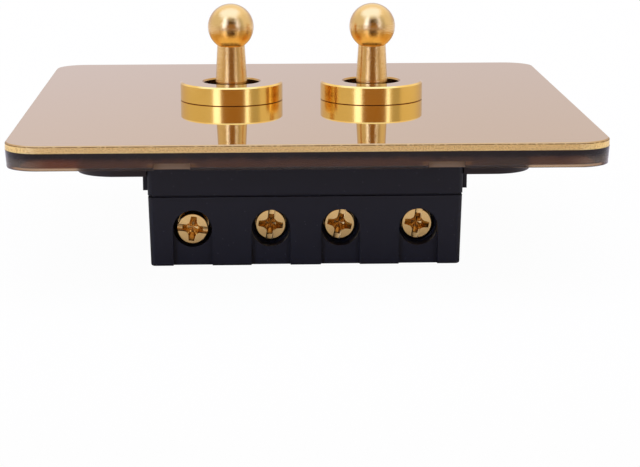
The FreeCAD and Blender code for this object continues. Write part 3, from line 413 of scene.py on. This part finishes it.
def turned_brass(name, colour, under, gloss, stroke, fineness, depth, centre=(0, 0, 0), tilt=0.0):
    """Satin brass with fine lathe strokes, polished level faces and sides facing down painted warmer, as a
    painted reflection.
    """
    sockets = {"Base Color": colour, "Specular Tint": POLISHED_EDGE_TINT, "Metallic": 1.0,
               "Roughness": gloss}
    material, tree, shader = principled(name, sockets)
    marks = noise(tree, object_place(tree, stroke, centre, tilt), fineness, 4.0)
    grain = noise(tree, object_place(tree), GRAIN_FINENESS, 3.0)
    upward = facing_up(tree)
    polished = ease(tree, upward, *LEVEL_FACES)
    # Sides that face down take the second colour: on the levers a warmer, darker painted reflection of the
    # brass below them.
    turned = paint(tree, ease(tree, upward, *UNDER_SIDES), under, colour)
    tree.links.new(paint(tree, polished, turned, BRASS), shader.inputs["Base Color"])
    rough = blend(tree, polished, uneven(tree, grain, TURNED_SPREAD, gloss), LEVEL_GLOSS)
    tree.links.new(rough, shader.inputs["Roughness"])
    height = blend(tree, polished, maths(tree, "MULTIPLY_ADD", grain, GRAIN_RELIEF, marks), 0.0)
    bumped(tree, shader, height, depth, 0.6)
    return material


# %% [markdown]
# Shade is painted into the ring's colour: darker in the corner where a ring stands on the plate,
# and round the mouth of its hole, under the lever. Both places follow from the ring's own
# measures, so the ring's place and its hole are read from the imported piece and not typed in.

# %% Ring brass
RING_BRASS = (0.90, 0.57, 0.155, 1)
FOOT_PAINTED_SHADE = (0.36, 0.17, 0.05, 1)
MOUTH_PAINTED_SHADE = (0.5, 0.27, 0.08, 1)
FOOT_HEIGHTS = (0.05, 0.13)
MOUTH_REACH = (0.2, 0.3)


def bore_radius(node):
    """Radius of the hole through a round piece, from its own axis to its nearest corner."""
    low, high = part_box(node)
    middle_x, middle_y = (low[0] + high[0]) / 2, (low[1] + high[1]) / 2
    corners = [vertex.co for vertex in nodes[node].data.vertices]
    return min(math.hypot(corner.x - middle_x, corner.y - middle_y) for corner in corners)


def ring_brass():
    """Turned brass with painted shade in the corner on the plate and round the mouth of the hole."""
    material = turned_brass("ring_brass", RING_BRASS, RING_BRASS, 0.18, (1, 1, 0.12), 4.0, 0.005)
    tree = material.node_tree
    low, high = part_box("bezel_ring_right")
    away = (low[0] + high[0]) / 2 * TO_MM
    mouth = bore_radius("bezel_ring_right") * TO_MM
    place = axes_of(tree, object_place(tree))
    from_plate = maths(tree, "SUBTRACT", place["Z"], PLATE_TOP * TO_MM)
    aside = maths(tree, "SUBTRACT", maths(tree, "ABSOLUTE", place["X"]), away)
    squares = [maths(tree, "MULTIPLY", length, length) for length in (aside, place["Y"])]
    from_mouth = maths(tree, "SUBTRACT", maths(tree, "SQRT", maths(tree, "ADD", *squares)), mouth)
    at_foot = ease(tree, from_plate, *FOOT_HEIGHTS, 1.0, 0.0)
    in_mouth = ease(tree, from_mouth, *MOUTH_REACH, 1.0, 0.0)
    shader = tree.nodes["Principled BSDF"]
    unshaded = shader.inputs["Base Color"].links[0].from_socket
    # Painted shade: darker in the corner on the plate and round the mouth of the hole.
    painted_shade = paint(tree, in_mouth, paint(tree, at_foot, unshaded, FOOT_PAINTED_SHADE), MOUTH_PAINTED_SHADE)
    tree.links.new(painted_shade, shader.inputs["Base Color"])
    return material


# %% [markdown]
# The housing is black plastic that takes the fine texture of its mould. It is nearly black with a
# dull shine, and paler specks are painted on it, partly dust and partly painted glints of the lamps.
# A Voronoi texture gives the specks: near each of its scattered points the distance is small, and
# that is where a speck goes.

# %% Black plastic
BLACK = (0.009, 0.0085, 0.0108, 1)
DUST_AND_GLINT = (0.045, 0.045, 0.05, 1)
SPECK_FINENESS = 0.9
SPECK_SIZE = (0.05, 0.09)


def black_moulding():
    """Dull black plastic with a fine grain and a few pale specks, partly dirt and partly painted glints."""
    sockets = {"Base Color": BLACK, "Roughness": 0.55, "Specular IOR Level": 0.4}
    material, tree, shader = principled("black_moulding", sockets)
    bumped(tree, shader, noise(tree, object_place(tree), 4.0, 3.0), 0.02, 0.3)
    speck_cells = new_node(tree, "ShaderNodeTexVoronoi", {"Vector": object_place(tree), "Scale": SPECK_FINENESS})
    speck = ease(tree, speck_cells.outputs["Distance"], *SPECK_SIZE, 1.0, 0.0)
    # Pale specks: partly dust, partly painted glints of the lamps.
    tree.links.new(paint(tree, speck, BLACK, DUST_AND_GLINT), shader.inputs["Base Color"])
    return material


# %% [markdown]
# The tray behind the plate is clear brown plastic. Its thin lip lets the light through, and painted
# light makes it pale. Its rim has a warm painted glow low down and painted shade under the plate,
# and the corners, which catch light from two sides, have the palest painted light. The volume inside
# the piece swallows light along the way. The colour of the surface carries the painted light and
# shade. The two pockets in the front edge let less light through on their inside faces, which carry
# painted light, and have amber painted light beside them.

# %% Smoky plastic
SMOKE = (0.452, 0.261, 0.106, 1)
SMOKE_DENSITY = 1900.0
SMOKE_PAINTED_SHADE = (0.04, 0.013, 0.008, 1)
SMOKE_PAINTED_GLOW = (0.50, 0.19, 0.07, 1)
SMOKE_PAINTED_GLOW_RIGHT = (0.34, 0.19, 0.09, 1)
SMOKE_PAINTED_CORNER_LIGHT = (0.75, 0.56, 0.34, 1)
SMOKE_PAINTED_LIP_LIGHT = (0.9, 0.8, 0.62, 1)
AMBER_PAINTED_LIGHT = (0.95, 0.42, 0.14, 1)
POCKET_PAINTED_LIGHT = (0.30, 0.20, 0.11, 1)
RIM_FOOT = PLATE_TOP * TO_MM - 3.6
LIP_HEIGHTS = (0.3, 0.45)
GLOW_HEIGHTS = (0.9, 2.1)
GLOW_TURN = (15, 30)
CORNER_REACH = (36, 40)
CLOUD_FINENESS = 0.35
CLOUD_SPREAD = 1.2
CLEAR_LIP = 1.0
CLEAR_BODY = 0.88
CLEAR_IN_POCKET = 0.2
RECESS_AWAY = 19.3
RECESS_HALF = 2.55
RECESS_HEIGHT = 1.0
RECESS_FACE = -42.4
RIM_FRONT = -41.5


def smoky_rim():
    """Clear brown plastic that swallows light along the way, so a thin lip is paler and a web darker;
    painted light and shade in its colour add to both.
    """
    sockets = {"Base Color": SMOKE_PAINTED_GLOW, "Roughness": 0.12, "Transmission Weight": 0.9, "IOR": 1.44,
               "Specular IOR Level": 0.25}
    material, tree, shader = principled("smoky_rim", sockets)
    swallow = new_node(tree, "ShaderNodeVolumeAbsorption", {"Color": SMOKE, "Density": SMOKE_DENSITY})
    tree.links.new(swallow.outputs[0], tree.nodes["Material Output"].inputs["Volume"])
    place = axes_of(tree, object_place(tree))
    above_foot = maths(tree, "SUBTRACT", place["Z"], RIM_FOOT)
    clouds = noise(tree, object_place(tree, (1, 1, 0)), CLOUD_FINENESS)
    cloudy_height = maths(tree, "ADD", above_foot, uneven(tree, clouds, CLOUD_SPREAD, 0.0))
    body = ease(tree, above_foot, *LIP_HEIGHTS)
    from_middle = maths(tree, "ABSOLUTE", place["X"])
    # Painted glow: warm light painted low on the rim, less red towards the right.
    painted_glow = paint(tree, ease(tree, place["X"], *GLOW_TURN), SMOKE_PAINTED_GLOW, SMOKE_PAINTED_GLOW_RIGHT)
    at_corner = maths(tree, "MINIMUM", from_middle, maths(tree, "ABSOLUTE", place["Y"]))
    # Painted light: the corners, lit from two sides, are painted palest.
    painted_glow = paint(tree, ease(tree, at_corner, *CORNER_REACH), painted_glow, SMOKE_PAINTED_CORNER_LIGHT)
    # Painted shade towards the top, under the plate.
    glow_and_shade = paint(tree, ease(tree, cloudy_height, *GLOW_HEIGHTS), painted_glow, SMOKE_PAINTED_SHADE)
    # Painted light on the thin lip.
    colour = paint(tree, body, SMOKE_PAINTED_LIP_LIGHT, glow_and_shade)
    clear = blend(tree, body, CLEAR_LIP, CLEAR_BODY)
    from_recess = maths(tree, "ABSOLUTE", maths(tree, "SUBTRACT", from_middle, RECESS_AWAY))
    front = maths(tree, "LESS_THAN", place["Y"], RIM_FRONT)
    beside = band(tree, from_recess, RECESS_HALF + 0.05, RECESS_HALF + 0.9, 0.1)
    beside = maths(tree, "MULTIPLY", beside, band(tree, above_foot, LIP_HEIGHTS[1], RECESS_HEIGHT, 0.1))
    # Painted amber light beside the pockets.
    colour = paint(tree, maths(tree, "MULTIPLY", front, beside), colour, AMBER_PAINTED_LIGHT)
    inside = maths(tree, "MULTIPLY", front, maths(tree, "GREATER_THAN", place["Y"], RECESS_FACE))
    inside = maths(tree, "MULTIPLY", inside, maths(tree, "LESS_THAN", from_recess, RECESS_HALF + 0.02))
    inside = maths(tree, "MULTIPLY", inside, maths(tree, "LESS_THAN", above_foot, RECESS_HEIGHT + 0.02))
    # Painted light on the pockets' inside faces, which let less light through.
    colour = paint(tree, inside, colour, POCKET_PAINTED_LIGHT)
    tree.links.new(colour, shader.inputs["Base Color"])
    tree.links.new(blend(tree, inside, clear, CLEAR_IN_POCKET), shader.inputs["Transmission Weight"])
    bumped(tree, shader, noise(tree, object_place(tree), 1.2), 0.01, 0.3)
    return material


# %% [markdown]
# The other pieces need less. The yoke is smoky plastic too, so thick that it looks nearly black.
# Springs and pins are steel, the contacts' faces silver and the terminals brass. They are small
# and mostly inside, so bare metal with a little change in its gloss is enough.

# %% Dark plastic, steel and silver
THICK_SMOKE = (0.025, 0.015, 0.011, 1)
TERMINAL_BRASS = (0.83, 0.55, 0.2, 1)
STEEL = (0.6, 0.6, 0.6, 1)
SILVER = (0.85, 0.84, 0.8, 1)
METAL_SPREAD = 0.12


def dark_moulding():
    """Smoky plastic so thick that hardly any light comes through."""
    sockets = {"Base Color": THICK_SMOKE, "Roughness": 0.4, "Specular IOR Level": 0.3}
    material, tree, shader = principled("dark_moulding", sockets)
    bumped(tree, shader, noise(tree, object_place(tree), 3.0, 3.0), 0.02, 0.3)
    return material


def plain_metal(name, colour, roughness):
    """Bare metal with a fine grain in its gloss."""
    sockets = {"Base Color": colour, "Metallic": 1.0, "Roughness": roughness}
    material, tree, shader = principled(name, sockets)
    grain = noise(tree, object_place(tree), 5.0)
    tree.links.new(uneven(tree, grain, METAL_SPREAD, roughness), shader.inputs["Roughness"])
    return material


# %% [markdown]
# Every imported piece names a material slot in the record, and one table turns slots into finishes.
# The levers and the yoke share a slot with other pieces but look different, so they have their
# own. The levers' lathe rings lie round their tilted axis, which goes through the pivot.

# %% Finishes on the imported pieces
LEVER_BRASS = (0.80, 0.52, 0.20, 1)
# Painted reflection: the levers' sides that face down are painted warmer, as if they mirrored the brass
# plate below.
LEVER_UNDER_PAINTED_REFLECTION = (0.76, 0.42, 0.10, 1)
LEVER_PIVOT = (0, 0, 0.013)
LEVER_TILT = math.radians(-5.0)
FINISH = {
    "polished_brass": plate_brass(),
    "turned_brass": ring_brass(),
    "terminal_brass": plain_metal("terminal_brass", TERMINAL_BRASS, 0.18),
    "smoky_plastic": smoky_rim(),
    "black_plastic": black_moulding(),
    "steel": plain_metal("steel", STEEL, 0.3),
    "silver": plain_metal("silver", SILVER, 0.2),
}
lever_brass = turned_brass("lever_brass", LEVER_BRASS, LEVER_UNDER_PAINTED_REFLECTION, 0.13, (0.02, 0.02, 1), 12.0, 0.040,
                           LEVER_PIVOT, LEVER_TILT)
OWN_FINISH = {"dolly_left": lever_brass, "dolly_right": lever_brass, "mounting_yoke": dark_moulding()}
for subpart in frame["record"]["subparts"]:
    name = subpart["node"]
    materials = nodes[name].data.materials
    materials.clear()
    materials.append(OWN_FINISH.get(name) or FINISH[subpart["material_slot"]])
print("finishes:", sorted(FINISH))

# %% [markdown]
# The terminal screws are what the eye goes to on the black face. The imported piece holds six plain
# ones, which say where each new screw goes and which way it looks. Its mesh is loose triangles, so
# corners in the same place are joined first, and then everything that hangs together is one screw.

# %% Where the screws stand


def loose_parts(mesh):
    """The separate solids of a mesh, each as a list of its vertex places."""
    owner = list(range(len(mesh.vertices)))

    def first_owner(index):
        while owner[index] != index:
            owner[index] = owner[owner[index]]
            index = owner[index]
        return index

    corner_at = {}
    for vertex in mesh.vertices:
        key = tuple(round(value, 7) for value in vertex.co)
        owner[vertex.index] = corner_at.setdefault(key, vertex.index)
    for edge in mesh.edges:
        first, second = (first_owner(index) for index in edge.vertices)
        owner[first] = second
    parts = {}
    for vertex in mesh.vertices:
        parts.setdefault(first_owner(vertex.index), []).append(vertex.co)
    return list(parts.values())


def screw_places(mesh):
    """Centre of each head's face and which way it looks in Y, front ones first, from the left."""
    places = []
    for part in loose_parts(mesh):
        xs, ys, zs = zip(*part)
        facing = -1 if sum(ys) < 0 else 1
        face_y = min(ys) if facing < 0 else max(ys)
        places.append((Vector(((min(xs) + max(xs)) / 2, face_y, (min(zs) + max(zs)) / 2)), facing))
    return sorted(places, key=lambda place: (place[1], place[0].x))


screws = screw_places(nodes["terminal_screws"].data)
for centre, facing in screws:
    print("screw at", [round(value / MM, 2) for value in centre], "looks to", facing)

# %% [markdown]
# A real terminal screw has a flat head with a rounded rim, over a threaded shank. Both are round,
# so half of the outline, turned about the axis, gives the whole. Millimetres are used here,
# because a screw's sizes are known in them. The thread is a row of plain rings: most of it is in
# the terminal block, and rings look the same as a helix there.

# %% One screw, turned
HEAD_RADIUS = 2.32
HEAD_HEIGHT = 1.8
HEAD_CHAMFER = 0.2
RIM_RADIUS = 0.12
RIM_STEPS = 5
SHANK_RADIUS = 1.45
SHANK_LENGTH = 4.6
THREAD_PITCH = 0.6
THREAD_DEPTH = 0.2
STEPS_ROUND = 72


def screw_profile():
    """Radius and height pairs in millimetres, from the head's middle down to the tip."""
    points = [(0, 0), (HEAD_RADIUS - RIM_RADIUS, 0)]
    for step in range(1, RIM_STEPS + 1):
        angle = math.pi / 2 * step / RIM_STEPS
        inward = RIM_RADIUS * (1 - math.sin(angle))
        points.append((HEAD_RADIUS - inward, RIM_RADIUS * (math.cos(angle) - 1)))
    core = SHANK_RADIUS - THREAD_DEPTH
    points.append((HEAD_RADIUS, HEAD_CHAMFER - HEAD_HEIGHT))
    points.append((HEAD_RADIUS - HEAD_CHAMFER, -HEAD_HEIGHT))
    points.append((core, -HEAD_HEIGHT))
    for turn in range(int(SHANK_LENGTH / THREAD_PITCH)):
        top = -HEAD_HEIGHT - THREAD_PITCH * turn
        points.append((SHANK_RADIUS, top - THREAD_PITCH / 2))
        points.append((core, top - THREAD_PITCH))
    return points + [(0, points[-1][1])]


def on_circle(radius, height, step, steps):
    """Place in metres of one step round the Z axis, from millimetres."""
    angle = math.tau * step / steps
    return (radius * math.cos(angle) * MM, radius * math.sin(angle) * MM, height * MM)


def lathe(name, profile, steps):
    """Closed mesh from a profile of radius and height that starts and ends on the axis."""
    inner = profile[1:-1]
    corners = [(0, 0, profile[0][1] * MM), (0, 0, profile[-1][1] * MM)]
    corners += [on_circle(radius, height, step, steps) for radius, height in inner for step in range(steps)]
    faces = []
    last = 2 + (len(inner) - 1) * steps
    for step in range(steps):
        after = (step + 1) % steps
        faces.append((0, 2 + step, 2 + after))
        faces.append((1, last + after, last + step))
        for ring in range(len(inner) - 1):
            upper, lower = 2 + ring * steps, 2 + (ring + 1) * steps
            faces.append((upper + step, lower + step, lower + after, upper + after))
    return new_mesh(name, corners, faces)


# %% [markdown]
# The head takes two kinds of driver: a slot runs right across it, and a cross recess narrows as
# it goes down. Where two arms of the cross meet, the metal is pressed into a round shoulder. Each
# recess is the shape of a solid cutter, which a Boolean takes away from the head. That keeps the
# edges sharp with few faces, where modelling them by hand would need many.

# %% The cutters
CUTTER_PROUD = 0.4
ARM_REACH = 1.88
ARM_HALF = 0.5
ARM_TAPER = 0.85
PETAL_RADIUS = 0.85
PETAL_STEPS = 6
RECESS_DEPTH = 1.25
RECESS_FLOOR_SCALE = 0.42
RECESS_TIP_DEPTH = 1.55
SLOT_HALF = 0.56
SLOT_DEPTH = 0.22
SLOT_BELLY = 0.14
SLOT_STEPS = 6


def cross_outline():
    """Corners of the cross: square arm ends, and a round shoulder between each two arms."""
    petal = ARM_HALF + PETAL_RADIUS
    quarter = [(ARM_REACH, -ARM_HALF * ARM_TAPER), (ARM_REACH, ARM_HALF * ARM_TAPER)]
    for step in range(PETAL_STEPS + 1):
        angle = -math.pi / 2 - math.pi / 2 * step / PETAL_STEPS
        quarter.append((petal + PETAL_RADIUS * math.cos(angle), petal + PETAL_RADIUS * math.sin(angle)))
    outline = []
    for arm in range(4):
        turn = Matrix.Rotation(math.pi / 2 * arm, 2)
        outline += [tuple(turn @ Vector(corner)) for corner in quarter]
    return outline


def stacked(name, outline, levels, tip):
    """Closed mesh through copies of an outline at (height, scale) levels, ending in a point."""
    corners = [(x * scale * MM, y * scale * MM, height * MM) for height, scale in levels for x, y in outline]
    count = len(outline)
    faces = [tuple(range(count))]
    for level in range(len(levels) - 1):
        for index in range(count):
            after = (index + 1) % count
            upper, lower = level * count, (level + 1) * count
            faces.append((upper + index, lower + index, lower + after, upper + after))
    corners.append((0, 0, tip * MM))
    last = (len(levels) - 1) * count
    for index in range(count):
        faces.append((last + index, len(corners) - 1, last + (index + 1) % count))
    return new_mesh(name, corners, faces)


def cross_cutter():
    """Solid that the cross recess is cut with, a little proud of the head."""
    slope = (1 - RECESS_FLOOR_SCALE) / RECESS_DEPTH
    levels = [(CUTTER_PROUD, 1 + slope * CUTTER_PROUD), (-RECESS_DEPTH, RECESS_FLOOR_SCALE)]
    return stacked("cross_cutter", cross_outline(), levels, -RECESS_TIP_DEPTH)


def slot_cutter():
    """Long bar with a rounded belly that the slot is cut with."""
    reach = HEAD_RADIUS + 1
    section = [(SLOT_HALF, 1), (-SLOT_HALF, 1)]
    for step in range(SLOT_STEPS + 1):
        across = 2 * step / SLOT_STEPS - 1
        section.append((SLOT_HALF * across, SLOT_BELLY * across ** 2 - SLOT_DEPTH - SLOT_BELLY))
    count = len(section)
    corners = [(x * MM, y * MM, z * MM) for y in (-reach, reach) for x, z in section]
    faces = [tuple(range(count)), tuple(range(count, 2 * count))[::-1]]
    for index in range(count):
        after = (index + 1) % count
        faces.append((after, index, count + index, count + after))
    return new_mesh("slot_cutter", corners, faces)


# %% Cutting the recesses


def finished_mesh(thing, name):
    """The mesh that an object's modifiers give, as plain data."""
    evaluated = thing.evaluated_get(bpy.context.evaluated_depsgraph_get())
    mesh = bpy.data.meshes.new_from_object(evaluated)
    mesh.name = name
    return mesh


def one_screw():
    """Screw with both recesses cut, looking along +Z."""
    blank = as_object(lathe("screw_blank", screw_profile(), STEPS_ROUND))
    cutters = [as_object(cross_cutter()), as_object(slot_cutter())]
    for cutter in cutters:
        boolean = blank.modifiers.new(cutter.name, "BOOLEAN")
        boolean.operation = "DIFFERENCE"
        boolean.solver = "EXACT"
        boolean.object = cutter
    mesh = finished_mesh(blank, "cut_screw")
    for thing in [blank] + cutters:
        bpy.data.objects.remove(thing)
    return mesh


screw_mesh = one_screw()
print("one screw:", len(screw_mesh.polygons), "faces")

# %% [markdown]
# The six screws are alike, and each stopped where its thread did, so their slots lie at different
# angles. Geometry Nodes suit that: a mesh of six lone corners says where, an attribute on them
# says how each screw is turned, and the tree puts one screw on each. It ends in real faces, since
# the export keeps no instances.

# %% All six, by Geometry Nodes
SLOT_TURNS = (83.0, -6.0, -13.0, -9.0, 20.0, -35.0)


def upright(facing, size):
    """Turn that lays the Z axis along Y, to the side that a screw looks to."""
    return Matrix.Rotation(math.pi / 2 * -facing, size, "X")


def screw_layout():
    """One vertex for each screw, carrying the turn that stands its screw in its hole."""
    mesh = new_mesh("screw_layout", [centre for centre, facing in screws], [])
    aim = mesh.attributes.new("aim", "FLOAT_VECTOR", "POINT")
    for index, ((centre, facing), turn) in enumerate(zip(screws, SLOT_TURNS)):
        stand = upright(facing, 3) @ Matrix.Rotation(math.radians(turn), 3, "Z")
        aim.data[index].vector = stand.to_euler()
    return as_object(mesh)


def screw_tree():
    """Node tree that puts a screw on every vertex, aimed by its attribute."""
    tree = bpy.data.node_groups.new("terminal_screws", "GeometryNodeTree")
    for name, kind in (("Places", "Geometry"), ("Screw", "Object"), ("Finish", "Material")):
        tree.interface.new_socket(name, in_out="INPUT", socket_type="NodeSocket" + kind)
    tree.interface.new_socket("Screws", in_out="OUTPUT", socket_type="NodeSocketGeometry")
    given = new_node(tree, "NodeGroupInput").outputs
    screw = new_node(tree, "GeometryNodeObjectInfo", {"Object": given["Screw"]}).outputs["Geometry"]
    aim = new_node(tree, "GeometryNodeInputNamedAttribute", {"Name": "aim"}, data_type="FLOAT_VECTOR")
    sockets = {"Points": given["Places"], "Instance": screw, "Rotation": aim.outputs["Attribute"]}
    placed = new_node(tree, "GeometryNodeInstanceOnPoints", sockets)
    real = new_node(tree, "GeometryNodeRealizeInstances", {"Geometry": placed.outputs[0]})
    sockets = {"Geometry": real.outputs[0], "Material": given["Finish"]}
    dressed = new_node(tree, "GeometryNodeSetMaterial", sockets)
    result = new_node(tree, "NodeGroupOutput")
    tree.links.new(dressed.outputs[0], result.inputs[0])
    return tree


def set_inputs(modifier, values):
    """Fill a node modifier's inputs by the names that its tree gives them."""
    for item in modifier.node_group.interface.items_tree:
        if item.in_out == "INPUT" and item.name in values:
            modifier[item.identifier] = values[item.name]


def all_screws():
    """The six screws as one plain piece on the housing."""
    pattern = as_object(screw_mesh)
    layout = screw_layout()
    modifier = layout.modifiers.new("screws", "NODES")
    modifier.node_group = screw_tree()
    set_inputs(modifier, {"Screw": pattern, "Finish": FINISH["terminal_brass"]})
    mesh = finished_mesh(layout, "terminal_screws_cut")
    for thing in (layout, pattern):
        bpy.data.objects.remove(thing)
    return as_object(mesh)


cut_screws = all_screws()
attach(cut_screws, "switch_body")
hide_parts("terminal_screws")
print("screws:", len(cut_screws.data.polygons), "faces")

# %% [markdown]
# Round each head, only black shows between the head and the tunnel: the moulding closes in on the
# terminal block there, and the block lies deep in the tunnel's shade. The model leaves that gap open
# for the screw to come out through. A thin black collar on each block closes it for the eye: it
# stands for that moulding and also for the shade deep in the tunnel. Each is a plain flat ring of
# four corners carried round the axis.

# %% Collars in the tunnels
COLLAR_INNER = 2.36
COLLAR_OUTER = 2.68
COLLAR_THICKNESS = 0.35


def ring_mesh(name, inner, outer, thickness, steps):
    """Flat ring about Z with its back at height 0, as a closed mesh."""
    section = ((inner, 0), (outer, 0), (outer, thickness), (inner, thickness))
    corners = []
    faces = []
    count = len(section)
    for step in range(steps):
        corners += [on_circle(radius, height, step, steps) for radius, height in section]
        here, there = step * count, (step + 1) % steps * count
        for side in range(count):
            after = (side + 1) % count
            faces.append((here + side, there + side, there + after, here + after))
    return new_mesh(name, corners, faces)


def collars():
    """The six collars as one piece, each flat on its terminal block."""
    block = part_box("terminal_blocks")
    shape = ring_mesh("collar", COLLAR_INNER, COLLAR_OUTER, COLLAR_THICKNESS, STEPS_ROUND)
    corners, faces = [], []
    for centre, facing in screws:
        wall = block[0][1] if facing < 0 else block[1][1]
        stand = Matrix.Translation((centre.x, wall, centre.z)) @ upright(facing, 4)
        first = len(corners)
        corners += [stand @ vertex.co for vertex in shape.vertices]
        faces += [[first + index for index in face.vertices] for face in shape.polygons]
    mesh = new_mesh("tunnel_collars", corners, faces)
    mesh.materials.append(FINISH["black_plastic"])
    return as_object(mesh)


tunnel_collars = collars()
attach(tunnel_collars, "switch_body")
print("collars:", len(tunnel_collars.data.polygons), "faces")
